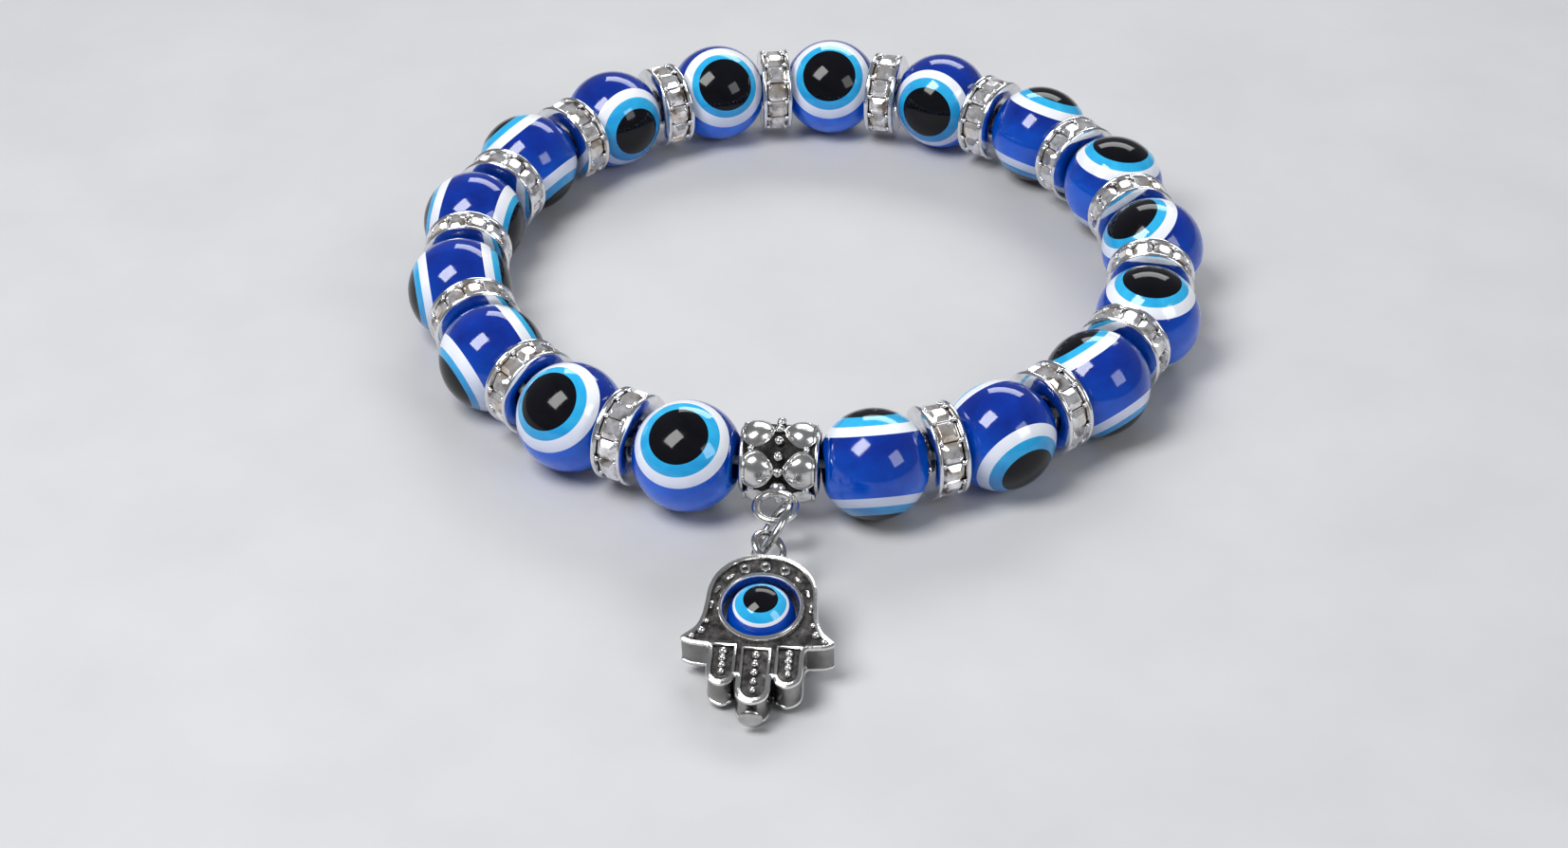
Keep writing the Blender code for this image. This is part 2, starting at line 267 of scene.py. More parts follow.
def shaded_by_height(n, top, bottom):
    """Cloudy colour with painted light and shade: one pair of tones on the upper side of a ball, mixed
    by the world normal into another pair below.
    """
    cloud = n.noise(190.0, 5.0, 0.6, 0.7)
    split = n.add("ShaderNodeSeparateXYZ")
    n.link(n.add("ShaderNodeNewGeometry").outputs["Normal"], split.inputs["Vector"])
    # painted light: the tones follow the world normal, so the upper and lower sides of a ball are
    # painted as lit or shaded
    low = n.span(split.outputs["Z"], 1.0, 0.0, -0.35, 0.75)
    above = n.ramp(cloud, ((0.3, top[0]), (0.72, top[1])))
    below = n.ramp(cloud, ((0.3, bottom[0]), (0.72, bottom[1])))
    return n.mix(low, above, below)


def resin(name, top, bottom, sss, radius, coat=0.4, ior=1.45):
    """Polished cast resin: cloudy colour with painted light and shade from its upper to its lower side,
    smudges and fine scratches, light spread under the surface.
    """
    n = Nodes(name)
    n.colour(shaded_by_height(n, top, bottom))
    polish(n)
    n.set(Subsurface_Weight=sss, Subsurface_Radius=radius, Subsurface_Scale=0.001)
    n.set(Coat_Weight=coat, Coat_Roughness=0.03, IOR=ior)
    return n.mat


def polish(n):
    smudge = n.mix(0.5, n.noise(230.0, 4.0, 0.6), n.noise(1500.0, 2.0))
    n.rough(n.span(smudge, 0.02, 0.15, 0.35, 0.65))
    n.bump(n.noise(420.0, 2.0), 0.05, 0.0002)


def cobalt():
    """Translucent blue resin with painted light: painted shade, deep blue, on the side that faces the
    light, and a painted glow low down and at its rim, standing in for the light that the ball gathers
    from its top."""
    n = Nodes("resin_cobalt")
    body = shaded_by_height(n, SHADED_TOP_BLUE, LIT_BLUE)
    # painted rim glow: a brighter blue mixed in where the surface turns edge-on to the camera
    weight = n.add("ShaderNodeLayerWeight")
    weight.inputs["Blend"].default_value = 0.3
    rim = n.span(weight.outputs["Facing"], 0.0, 0.3, 0.5, 1.0)
    n.colour(n.mix(rim, body, (0.0, 0.12, 0.8)))
    polish(n)
    n.set(Subsurface_Weight=0.5, Subsurface_Radius=(0.12, 0.4, 1.0), Subsurface_Scale=0.003)
    n.set(Coat_Weight=0.3, Coat_Roughness=0.02, IOR=1.45)
    return n.mat


def bright_silver(name, colour, low, high):
    """Plated wire or channel: clean metal with dull spots and fine scratches."""
    n = Nodes(name)
    wear = n.noise(700.0, 6.0, 0.65)
    dull = tuple(c * 0.72 for c in colour)
    n.colour(n.ramp(wear, ((0.3, dull), (0.6, colour))))
    n.rough(n.span(n.noise(1600.0, 4.0), low, high, 0.3, 0.7))
    n.set(Metallic=1.0)
    n.bump(n.noise(1300.0, 3.0), 0.12, 0.00015)
    return n.mat


def antique(name, low, high):
    """Cast alloy where it stands proud: rubbed bright, with tarnish left in the corners and pits."""
    n = Nodes(name)
    ao = n.add("ShaderNodeAmbientOcclusion", samples=4)
    ao.inputs["Distance"].default_value = 0.0006
    depth = n.span(ao.outputs["AO"], 0.0, 1.0, 0.3, 0.72)
    patch = n.add("ShaderNodeMath", operation="MULTIPLY_ADD")
    n.link(n.noise(900.0, 6.0, 0.65), patch.inputs[0])
    patch.inputs[1].default_value = 0.5
    n.link(depth, patch.inputs[2])
    clean = n.span(patch.outputs["Value"], 0.0, 1.0, 0.4, 0.8)
    worn = (low, 0.98 * low, 0.96 * low)
    bright = (high, 0.99 * high, 0.97 * high)
    silver = n.ramp(n.noise(350.0, 5.0), ((0.3, worn), (0.7, bright)))
    n.colour(n.mix(clean, (0.03, 0.028, 0.027), silver))
    n.rough(n.span(clean, 0.55, 0.2))
    n.set(Metallic=1.0)
    n.bump(n.noise(1100.0, 4.0), 0.2, 0.0002)
    return n.mat


def patina(name, dark, middle, rubbed):
    """Black-dipped floor of the casting, with faint rubbed patches."""
    n = Nodes(name)
    rub = n.noise(800.0, 6.0, 0.7)
    n.colour(n.ramp(rub, ((0.4, dark), (0.58, middle), (0.76, rubbed))))
    n.rough(n.span(rub, 0.65, 0.35, 0.4, 0.8))
    n.set(Metallic=0.85)
    n.bump(n.noise(1800.0, 5.0), 0.35, 0.0002)
    return n.mat


def stone():
    """Foil-backed cut stone with painted reflections: facets painted mirror-bright or dark in flashes,
    and a warm tint on some stones.
    """
    n = Nodes("cut_stone")
    # painted reflections: noise makes some stones dark and others bright, like flashes of light
    flash = n.noise(900.0, 2.0, 0.5)
    dark, grey, clear = (0.2, 0.15, 0.12), (0.66, 0.64, 0.64), (0.98, 0.98, 1.0)
    foil_and_painted_flash = n.ramp(flash, ((0.34, dark), (0.46, grey), (0.66, clear)))
    warm = n.span(n.noise(160.0, 3.0), 0.0, 0.75, 0.52, 0.72)
    n.colour(n.mix(warm, foil_and_painted_flash, (0.62, 0.47, 0.3)))
    n.rough(n.span(n.noise(2200.0, 2.0), 0.02, 0.09))
    n.set(Metallic=0.75, Coat_Weight=1.0, Coat_Roughness=0.02, IOR=1.6)
    return n.mat


def shade_painted_seat():
    """Band behind the stones, painted dark as the shade that falls between them."""
    n = Nodes("seat_painted_shade")
    dark, light = (0.02, 0.014, 0.012), (0.12, 0.085, 0.07)
    n.colour(n.ramp(n.noise(1500.0, 4.0), ((0.3, dark), (0.7, light))))
    n.rough(n.span(n.noise(1200.0), 0.35, 0.6))
    n.set(Metallic=0.6)
    return n.mat


def elastic():
    n = Nodes("clear_elastic")
    n.colour(n.ramp(n.noise(800.0), ((0.3, (0.6, 0.64, 0.66)), (0.7, (0.8, 0.83, 0.85)))))
    n.rough(n.span(n.noise(1500.0), 0.2, 0.4))
    n.set(Subsurface_Weight=0.3, Subsurface_Scale=0.0005)
    return n.mat


# Painted light for the blue resin: painted shade tones for the upper side, lit tones for the lower side.
SHADED_TOP_BLUE = ((0.0, 0.012, 0.18), (0.0, 0.035, 0.36))
LIT_BLUE = ((0.0, 0.09, 0.66), (0.0, 0.18, 0.9))
COBALT = cobalt()
# Painted light: the white is lighter on its upper side, with painted shade, darker and bluer, below.
WHITE = resin(
    "resin_white",
    top=((0.8, 0.83, 0.88), (0.93, 0.94, 0.97)),
    bottom=((0.5, 0.57, 0.8), (0.64, 0.7, 0.88)),
    sss=0.4,
    radius=(1.0, 1.0, 1.0),
)
# Painted light: the cyan is brighter on its upper side, with painted shade below.
CYAN = resin(
    "resin_cyan",
    top=((0.01, 0.34, 0.7), (0.05, 0.56, 0.85)),
    bottom=((0.0, 0.17, 0.52), (0.0, 0.3, 0.68)),
    sss=0.35,
    radius=(0.3, 0.8, 1.0),
)
# Painted light: the black is a little lighter on its upper side.
BLACK = resin(
    "resin_black",
    top=((0.001, 0.001, 0.002), (0.006, 0.006, 0.01)),
    bottom=((0.001, 0.001, 0.002), (0.003, 0.003, 0.006)),
    sss=0.0,
    radius=(1.0, 1.0, 1.0),
    coat=0.05,
    ior=1.33,
)
RESINS = (COBALT, WHITE, CYAN, BLACK)
RIM = bright_silver("plated_silver", (0.9, 0.9, 0.91), 0.06, 0.2)
WIRE = bright_silver("wire_silver", (0.56, 0.555, 0.55), 0.12, 0.26)
ANTIQUE = antique("antique_silver", 0.62, 0.88)
# Painted shade: darker silver for the side walls of the hamsa plate, standing in for the shade on its
# edges.
SHADED_SIDE = antique("side_painted_shade", 0.16, 0.36)
PATINA = patina("black_patina", (0.022, 0.021, 0.022), (0.1, 0.095, 0.092), (0.42, 0.41, 0.4))
DEEP_PATINA = patina("deep_patina", (0.008, 0.007, 0.008), (0.028, 0.026, 0.025), (0.16, 0.155, 0.15))
STONE = stone()
SEAT = shade_painted_seat()
ELASTIC = elastic()


# ---------------------------------------------------------------- beads


def ring_heights(layers):
    """Heights along the eye axis, closer near the poles, with a ring exactly at each layer edge."""
    edges = [0.0, *layers, 1.0]
    counts = (9, 3, 3, 6)
    half = []
    for (low, high), count in zip(zip(edges, edges[1:]), counts):
        a_low, a_high = math.asin(low), math.asin(high)
        half += [a_low + (a_high - a_low) * i / count for i in range(count)]
    return half


def eye_sphere(radius, layers):
    """Ball about Z in layered faces: middle slab, then three caps at each end."""
    bm = bmesh.new()
    half = ring_heights(layers)
    angles = sorted({-a for a in half} | set(half))
    rings = []
    for a in angles:
        r, z = radius * math.cos(a), radius * math.sin(a)
        rings.append([bm.verts.new(around(r, TAU * i / BALL_STEPS, z)) for i in range(BALL_STEPS)])
    for low, high, ring_a, ring_b in zip(angles, angles[1:], rings, rings[1:]):
        middle = abs(math.sin((low + high) / 2))
        zone = sum(middle > edge for edge in layers)
        for i in range(BALL_STEPS):
            j = (i + 1) % BALL_STEPS
            bm.faces.new((ring_a[i], ring_a[j], ring_b[j], ring_b[i])).material_index = zone
    for sign, ring in ((-1, rings[0]), (1, rings[-1])):
        pole = bm.verts.new((0.0, 0.0, sign * radius))
        for i in range(BALL_STEPS):
            j = (i + 1) % BALL_STEPS
            bm.faces.new((ring[i], ring[j], pole)).material_index = len(layers)
    bmesh.ops.recalc_face_normals(bm, faces=bm.faces)
    return bm


def scene_object(name, bm):
    """Turns a bmesh into an object of the scene and frees the bmesh."""
    mesh = bpy.data.meshes.new(name)
    bm.to_mesh(mesh)
    bm.free()
    obj = bpy.data.objects.new(name, mesh)
    bpy.context.scene.collection.objects.link(obj)
    return obj


def drill(bm, axis, radius, length):
    """Cuts a round hole along an axis through a layered ball, keeping its face materials."""
    blank = scene_object("blank", bm)
    for mat in RESINS:
        blank.data.materials.append(mat)
    tool = bmesh.new()
    turn = Z.rotation_difference(axis).to_matrix().to_4x4()
    ends = {"radius1": radius, "radius2": radius, "depth": length}
    bmesh.ops.create_cone(tool, cap_ends=True, segments=28, matrix=turn, **ends)
    cutter = scene_object("drill", tool)
    mod = blank.modifiers.new("Hole", "BOOLEAN")
    mod.operation = "DIFFERENCE"
    mod.solver = "EXACT"
    mod.object = cutter
    graph = bpy.context.evaluated_depsgraph_get()
    done = bpy.data.meshes.new_from_object(blank.evaluated_get(graph), depsgraph=graph)
    out = bmesh.new()
    out.from_mesh(done)
    used = (blank.data, cutter.data, done)
    bpy.data.objects.remove(blank, do_unlink=True)
    bpy.data.objects.remove(cutter, do_unlink=True)
    for old in used:
        bpy.data.meshes.remove(old)
    return out


def flatten_ends(bm, axis, flat):
    """Ground flats where the hole comes out."""
    for vert in bm.verts:
        along = vert.co.dot(axis)
        if abs(along) > flat:
            vert.co -= axis * (along - math.copysign(flat, along))


def loop_centre():
    front, back = joint_pos("bead_01_spin"), joint_pos("bead_09_spin")
    return Vector((0.0, (front.y + back.y) / 2, back.z))


CENTRE = loop_centre()


def inward(spot, hole):
    """Level direction across a bead's hole that points into the loop."""
    lean = hole.cross(Z).normalized()
    return lean if lean.dot(CENTRE - spot) > 0 else -lean


def build_bead(k, draw):
    name = f"bead_{k:02d}"
    centre, hole = joint_pos(name + "_spin"), joint_axis(name + "_spin")
    turn = math.radians(EYE_TURN[k - 1])
    eye = (math.cos(turn) * Z - math.sin(turn) * inward(centre, hole)).normalized()
    layers = tuple(edge + draw.uniform(-play, play) for edge, play in zip(LAYERS, LAYER_PLAY))
    # local Z is the eye, local X the hole
    bm = eye_sphere(BEAD_R, layers)
    flatten_ends(bm, X, BEAD_FLAT)
    bm = drill(bm, X, BEAD_BORE_R, 3 * BEAD_R)
    matrix = frame_of(centre, eye, hole)
    finish_piece(name + "_resin", bm, matrix, RESINS, name, name, 40.0)


def spread(n, low, high):
    return [low + (high - low) * i / (n - 1) for i in range(n)]


def rounded_flange(r_out, z_low, z_high, count=5):
    """Half-round outer edge from the upper to the lower face."""
    half = (z_high - z_low) / 2
    mid = (z_high + z_low) / 2
    return [
        (r_out - half + half * math.cos(a), mid + half * math.sin(a))
        for a in spread(count, math.pi / 2, -math.pi / 2)
    ]


STONES = 12
STONE_CHAMFER = 0.3
TABLE_PLAY = 0.05
# Levels of a stone from the hub outwards: radius, half width, half length along the cord
STONE_BASE = (3.2, 0.7, 0.6)
STONE_GIRDLE = ((3.62, 0.93, 1.0), (3.74, 0.9, 0.97))
STONE_TABLE = (4.12, 0.5, 0.55)
SPACER_HALF, SPACER_BORE, SPACER_HUB = 1.3, 1.75, 3.05
BORE_CHAMFER, DISH_RIM, DISH_STEP = 0.1, 0.9, 0.04
RIM_R, RIM_HALF, FLANGE = 4.27, 1.52, 0.42
CLAW_R, CLAW_RING, CLAW_SIDE = 0.24, 3.98, 0.92
SEAT_IN, SEAT_OUT, SEAT_HALF = 3.12, 3.25, 1.05
CORD_REACH = 4.1
CORD_R, FRONT_CORD_R = 0.36, 0.4
CORD_LEAN = 0.1
KNOT_R, KNOT_MEAN, KNOT_SWING, KNOT_HALF = 0.3, 0.34, 0.2, 0.32
KNOT_STEPS = 36


def channel_profile():
    """Closed outline of the silver channel, dished on both faces."""
    bore_edge = (SPACER_BORE + BORE_CHAMFER, SPACER_HALF)
    dish_edge = (RIM_R - DISH_RIM, RIM_HALF - DISH_STEP)
    profile = [(SPACER_BORE, SPACER_HALF - BORE_CHAMFER), bore_edge, dish_edge]
    profile += rounded_flange(RIM_R, RIM_HALF - FLANGE, RIM_HALF)
    profile += [(SPACER_HUB, RIM_HALF - FLANGE), (SPACER_HUB, -RIM_HALF + FLANGE)]
    profile += rounded_flange(RIM_R, -RIM_HALF, -RIM_HALF + FLANGE)
    profile += [(dish_edge[0], -dish_edge[1]), (bore_edge[0], -bore_edge[1])]
    return profile + [(SPACER_BORE, -SPACER_HALF + BORE_CHAMFER)]


def build_channel(body, matrix):
    bm = bmesh.new()
    lathe(bm, channel_profile(), 48)
    for i in range(STONES):
        for side in (-1, 1):
            spot = around(CLAW_RING, TAU * (i + 0.5) / STONES, side * CLAW_SIDE)
            pip(bm, spot, CLAW_R, 10, 6)
    rim = body + "_rim"
    finish_piece(body + "_channel", bm, matrix, (RIM,), body, rim, 50.0)


def cut_corners(wide, tall):
    """Rectangle with these half sizes and its corners cut off."""
    corners = []
    for sx, sy in ((1, 1), (-1, 1), (-1, -1), (1, -1)):
        less_wide = 1 - STONE_CHAMFER * (sx * sy < 0)
        less_tall = 1 - STONE_CHAMFER * (sx * sy > 0)
        corners.append((sx * wide * less_wide, sy * tall * less_tall))
        corners.append((sx * wide * less_tall, sy * tall * less_wide))
    return corners


def cut_stone(bm, angle, wider):
    """One stone: narrow at the hub, widest at the girdle, its table a little wider or narrower."""
    radial, cross = around(1.0, angle), around(1.0, angle + TAU / 4)
    table_r, table_wide, table_tall = STONE_TABLE
    rings = []
    for r, wide, tall in (STONE_BASE, *STONE_GIRDLE, (table_r, table_wide + wider, table_tall)):
        corners = cut_corners(wide, tall)
        rings.append([bm.verts.new(r * radial + u * cross + v * Z) for u, v in corners])
    for lower, upper in zip(rings, rings[1:]):
        for m in range(8):
            n = (m + 1) % 8
            bm.faces.new((lower[m], lower[n], upper[n], upper[m]))
    bm.faces.new(rings[-1])
    bm.faces.new(list(reversed(rings[0])))


def build_stones(body, matrix, draw):
    bm = bmesh.new()
    # band behind the stones, coloured with the painted shade
    upper = [(SEAT_IN, SEAT_HALF), (SEAT_OUT, SEAT_HALF)]
    lower = [(SEAT_OUT, -SEAT_HALF), (SEAT_IN, -SEAT_HALF)]
    lathe(bm, upper + lower, 24, mat=1)
    for i in range(STONES):
        cut_stone(bm, TAU * i / STONES, draw.uniform(-TABLE_PLAY, TABLE_PLAY))
    name, node = body + "_cut_stones", body + "_stones"
    finish_piece(name, bm, matrix, (STONE, SEAT), body, node, smooth=False)


def cord_in_bead(bead, sign, middle, mouth):
    """Cord from the middle of a bead to the mouth of its hole, each this far inward of the axis."""
    spot, hole = joint_pos(f"bead_{bead:02d}_spin"), joint_axis(f"bead_{bead:02d}_spin")
    lean = inward(spot, hole)
    pair = [spot + middle * lean, spot + sign * CORD_REACH * hole + mouth * lean]
    return pair if sign > 0 else pair[::-1]


def build_spacer(k, draw):
    body = f"spacer_{k:02d}"
    a, b = joint_pos(f"bead_{k:02d}_spin"), joint_pos(f"bead_{k + 1:02d}_spin")
    centre, run = (a + b) / 2, (b - a).normalized()
    matrix = frame_of(centre, run, -Z) @ Matrix.Rotation(draw.uniform(0, TAU), 4, "Z")
    build_channel(body, matrix)
    build_stones(body, matrix, draw)
    path = cord_in_bead(k, 1, CORD_LEAN, 0.08) + cord_in_bead(k + 1, -1, CORD_LEAN, 0.08)
    path.insert(2, centre - CORD_LEAN * (CENTRE - centre).normalized())
    bm = bmesh.new()
    tube(bm, smooth_path(path, 5, False), CORD_R)
    place = Matrix.Identity(4)
    finish_piece(body + "_cord", bm, place, (ELASTIC,), body, "elastic_cord")


def knot_path(centre):
    """Trefoil round the cord."""
    path = []
    for i in range(KNOT_STEPS):
        a = TAU * i / KNOT_STEPS
        r = KNOT_MEAN + KNOT_SWING * math.cos(3 * a)
        along = KNOT_HALF * math.sin(3 * a)
        path.append(centre + Vector((along, r * math.cos(2 * a), r * math.sin(2 * a))))
    return path


def build_root_cord():
    cord = joint_pos("bail_spin")
    path = cord_in_bead(17, 1, 0.2, 0.6) + cord_in_bead(1, -1, 0.2, 0.6)
    path[2:2] = [cord + 0.9 * X, cord - 0.9 * X]
    bm = bmesh.new()
    tube(bm, smooth_path(path, 5, False), FRONT_CORD_R)
    tube(bm, knot_path(cord), KNOT_R, 8, cyclic=True)
    node, place = "elastic_cord", Matrix.Identity(4)
    finish_piece("front_cord_knot", bm, place, (ELASTIC,), node, node)


# ---------------------------------------------------------------- bail, jump ring, headpin

LOOP_TILT = math.radians(10.0)
RING_RISE = math.radians(15.0)
LOOP_R, LOOP_WIRE = 1.72, 0.375
RING_R, RING_WIRE = 2.8, 0.34
EYE_R, PIN_R = 1.45, 0.32
RING_SLIT = 0.05
RING_SLIT_AT = math.radians(118.0)
PIN_GAP = 0.5
PIN_CURL = (math.radians(24.0), math.radians(335.0))
HEAD_SIZE, HEAD_DROP = (1.0, 1.0, 0.34), 0.28
FRAME_TOP, FINGER_TIP = 5.8, 10.0
HAMSA_DOWN = joint_axis("hamsa_turn")
HAMSA_MIDDLE = joint_pos("hamsa_turn")


def circle(centre, u, v, radius, count, start=0.0, end=TAU):
    """Points from u towards v. A full turn leaves out the last point, which would repeat the first."""
    full = abs(end - start - TAU) < 1e-6
    steps = count if full else count - 1
    angles = [start + (end - start) * i / steps for i in range(count)]
    return [centre + radius * (math.cos(a) * u + math.sin(a) * v) for a in angles]


PETALS = 5
PETAL_START, PETAL_RUN, PETAL_RADIUS = 3.05, 2.65, 3.4
PETAL_WIDTH, PETAL_RISE, PETAL_FLOOR, PETAL_WIRE = 1.95, 0.78, 3.12, 0.13
WAIST_DOTS, WAIST_R = 15, 3.42
DOT_SIZE = (0.42, 0.44, 0.4)
GRAIN_R, GRAIN_RING, GRAIN_Z = 0.33, 3.1, 2.45
COLLAR_R, COLLAR_Z, COLLAR_WIRE = 2.72, 3.28, 0.24
LOOP_ROOT, LOOP_ROOT_R = 3.45, 0.75
# Upper half of the bail's outline as (radius, height), from the bore's end to the waist
BARREL = (
    (1.3, 3.4), (1.45, 3.5), (2.6, 3.5), (2.85, 3.38), (2.95, 3.1),
    (2.85, 2.85), (3.05, 2.4), (3.2, 1.6), (3.15, 0.9), (3.1, 0.0),
)


def bail_end(bm, side):
    """Petals, the grains between them and the collar at one end."""
    for i in range(PETALS):
        angle = TAU * (i + 0.5) / PETALS
        petal(bm, around(1.0, angle), side)
        pip(bm, around(GRAIN_RING, angle + TAU / (2 * PETALS), side * GRAIN_Z), GRAIN_R)
    collar = [around(COLLAR_R, TAU * i / 40, side * COLLAR_Z) for i in range(40)]
    tube(bm, collar, COLLAR_WIRE, 8, cyclic=True)


def build_bail():
    cord = joint_pos("bail_spin")
    matrix = frame_of(cord, X, -Z)
    bm = bmesh.new()
    lathe(bm, [*BARREL, *((r, -z) for r, z in reversed(BARREL[:-1]))], 64, mat=1)
    for side in (-1, 1):
        bail_end(bm, side)
    for i in range(WAIST_DOTS):
        angle = TAU * (i + 0.5) / WAIST_DOTS
        turn = Matrix.Rotation(angle, 4, "Z")
        ball(bm, around(WAIST_R, angle), DOT_SIZE, 14, 9, turn)
    inverse = matrix.to_3x3().inverted()
    out = inverse @ Vector((0.0, -math.cos(LOOP_TILT), -math.sin(LOOP_TILT)))
    across = inverse @ X
    tip = inverse @ (joint_pos("jump_ring_swing") - cord)
    loop = circle(tip - LOOP_R * out, across, out, LOOP_R, 48)
    tube(bm, loop, LOOP_WIRE, WIRE_SIDES, cyclic=True)
    pip(bm, LOOP_ROOT * out, LOOP_ROOT_R, 14, 9)
    mats = (ANTIQUE, DEEP_PATINA)
    finish_piece("bail_casting", bm, matrix, mats, "bail", "bail", 45.0)


def petal(bm, radial, side):
    """A pointed, domed leaf lobe that starts at the end collar and comes to a point near the waist."""
    rows, cols = 10, 10
    cross = Z.cross(radial)
    grid = []
    for i in range(rows + 1):
        t = i / rows
        z = PETAL_START - PETAL_RUN * t
        taper = math.sin(math.pi * min(0.18 + 0.82 * t, 1.0)) ** 0.75 * (1 - 0.1 * t)
        dome = math.sin(math.pi * (0.12 + 0.86 * t)) ** 0.6
        row = []
        for j in range(cols + 1):
            s = -1 + 2 * j / cols
            r = PETAL_FLOOR + PETAL_RISE * dome * (1 - abs(s) ** 2.4) - 0.16 * (1 - abs(s))
            angle = PETAL_WIDTH * taper * s / PETAL_RADIUS
            direction = math.cos(angle) * radial + math.sin(angle) * cross
            row.append(bm.verts.new(r * direction + side * z * Z))
        grid.append(row)
    for low, high in zip(grid, grid[1:]):
        for j in range(cols):
            bm.faces.new((low[j], low[j + 1], high[j + 1], high[j]))
    edge = grid[0] + [row[-1] for row in grid[1:]] + [row[0] for row in reversed(grid[1:])]
    tube(bm, [vert.co * 1.012 for vert in edge], PETAL_WIRE, 6, cyclic=True)


def finish_wire(piece, bm, body):
    place = Matrix.Identity(4)
    finish_piece(piece, bm, place, (WIRE,), body, body)


def build_jump_ring():
    hook, side = joint_pos("headpin_swing"), joint_axis("headpin_swing")
    pull = Vector((0.0, -math.cos(RING_RISE), math.sin(RING_RISE)))
    centre = hook - RING_R * pull
    end = RING_SLIT_AT + TAU - RING_SLIT
    bm = bmesh.new()
    tube(bm, circle(centre, pull, side, RING_R, 60, RING_SLIT_AT, end), RING_WIRE, WIRE_SIDES)
    finish_wire("jump_ring_wire", bm, "jump_ring")


def build_headpin():
    side, down = joint_axis("headpin_swing"), HAMSA_DOWN
    across = side.cross(down).normalized()
    eye = HAMSA_MIDDLE - (FRAME_TOP + EYE_R + PIN_GAP) * down
    path = circle(eye, down, across, EYE_R, 40, *PIN_CURL)
    path += [eye + (EYE_R + 0.12) * down - 0.12 * across, eye + (EYE_R + 0.45) * down]
    foot = HAMSA_MIDDLE + (FINGER_TIP + 0.15) * down
    path.append(foot + 0.1 * down)
    bm = bmesh.new()
    tube(bm, path, PIN_R, WIRE_SIDES)
    turn = Z.rotation_difference(down).to_matrix().to_4x4()
    ball(bm, foot + HEAD_DROP * down, HEAD_SIZE, 24, 12, turn)
    finish_wire("headpin_wire", bm, "headpin")


# ---------------------------------------------------------------- hamsa

OUTLINE = (
    (0.0, FRAME_TOP), (1.5, 5.6), (2.9, 4.85), (4.0, 3.6), (4.55, 2.1), (4.7, 0.4), (4.85, -1.0),
    (5.3, -2.3), (6.4, -3.5), (5.7, -4.05), (4.7, -4.2), (4.0, -4.5), (3.95, -6.9), (3.6, -7.8),
    (2.7, -8.25), (1.85, -7.85), (1.5, -7.2), (1.45, -8.4), (1.1, -9.5), (0.0, -FINGER_TIP),
)
# Each finger: middle, root, tip, half width and number of grains
FINGERS = (
    (0.0, -4.3, -9.55, 1.12, 5),
    (2.72, -4.05, -7.8, 0.98, 4),
    (-2.72, -4.05, -7.8, 0.98, 4),
)
# Each grain of a thumb: place on the right side, and radius
THUMB_GRAINS = ((5.5, -3.28, 0.33), (4.75, -2.62, 0.37), (4.4, -1.6, 0.25))
# Dashes along the arch: bearing from the window's middle, and length
ARCH_DASHES = ((47.0, 0.75), (24.0, 0.8), (2.0, 0.8))
DASH_ACROSS, DASH_UP, DASH_WIRE = 4.12, 4.4, 0.17
# Bearings of the small rings at the top of the arch
ARCH_RINGS = (90.0, 68.0, 112.0)
RINGS_AT, SMALL_RING_R, SMALL_RING_WIRE = 4.5, 0.36, 0.15
RIM_INSET, RIM_WIRE, FINGER_WIRE = 0.22, 0.23, 0.17
FINGER_GRAIN, GRAIN_STEP, GRAIN_SINK = 0.39, 0.02, 0.02
PLATE_HALF = 1.2
FACE = 1.32
WINDOW_R = 3.4
BEZEL = (
    (3.16, 1.45), (3.2, 1.68), (3.32, 1.8), (3.46, 1.8), (3.6, 1.66), (3.66, 1.4), (3.66, -1.4),
    (3.6, -1.66), (3.46, -1.8), (3.32, -1.8), (3.2, -1.68), (3.16, -1.45),
)
CHARM_EYE_R = 2.9
CHARM_EYE_BORE_R = 0.5
CHARM_DRILL = 9.0
CHARM_LAYERS = (0.585, 0.67, 0.865)


def outline_points():
    half = [Vector((u, v, 0.0)) for u, v in OUTLINE]
    return half + [Vector((-p.x, p.y, 0.0)) for p in reversed(half[1:-1])]


def inset(points, by):
    count = len(points)
    moved = []
    for i, here in enumerate(points):
        along = (points[(i + 1) % count] - points[i - 1]).normalized()
        moved.append(here + by * along.cross(Z))
    return moved


def plate(bm):
    curve = bpy.data.curves.new("plate", "CURVE")
    curve.dimensions = "2D"
    curve.fill_mode = "BOTH"
    curve.extrude = PLATE_HALF
    hole = circle(Vector((0.0, 0.0, 0.0)), X, Y, WINDOW_R, 48)
    for points in (inset(smooth_path(outline_points(), 3), 0.1), hole):
        spline = curve.splines.new("POLY")
        spline.points.add(len(points) - 1)
        for point, place in zip(spline.points, points):
            point.co = (*place, 1.0)
        spline.use_cyclic_u = True
    obj = bpy.data.objects.new("plate", curve)
    bpy.context.scene.collection.objects.link(obj)
    graph = bpy.context.evaluated_depsgraph_get()
    mesh = bpy.data.meshes.new_from_object(obj.evaluated_get(graph), depsgraph=graph)
    bm.from_mesh(mesh)
    bpy.data.objects.remove(obj, do_unlink=True)
    bpy.data.meshes.remove(mesh)


def small_ring(bm, centre):
    tube(bm, circle(centre, X, Y, SMALL_RING_R, 16), SMALL_RING_WIRE, 6, cyclic=True)


def finger_outline(root, tip, half):
    """Straight-sided finger with a round tip and a square root, as a closed outline."""
    middle = (root + tip + half) / 2
    right = [Vector((half, root, 0.0)), Vector((half, middle, 0.0))]
    angles = spread(9, 0.0, math.pi)
    arc = [Vector((half * math.cos(a), tip + half - half * math.sin(a), 0.0)) for a in angles]
    left = [Vector((-half, middle, 0.0)), Vector((-half, root, 0.0))]
    return right + arc + left


def dash(bm, mid, along):
    """Short raised line with thinned ends."""
    path = [mid - along, mid - 0.6 * along, mid + 0.6 * along, mid + along]
    tube(bm, path, [0.5 * DASH_WIRE, DASH_WIRE, DASH_WIRE, 0.5 * DASH_WIRE], 8)


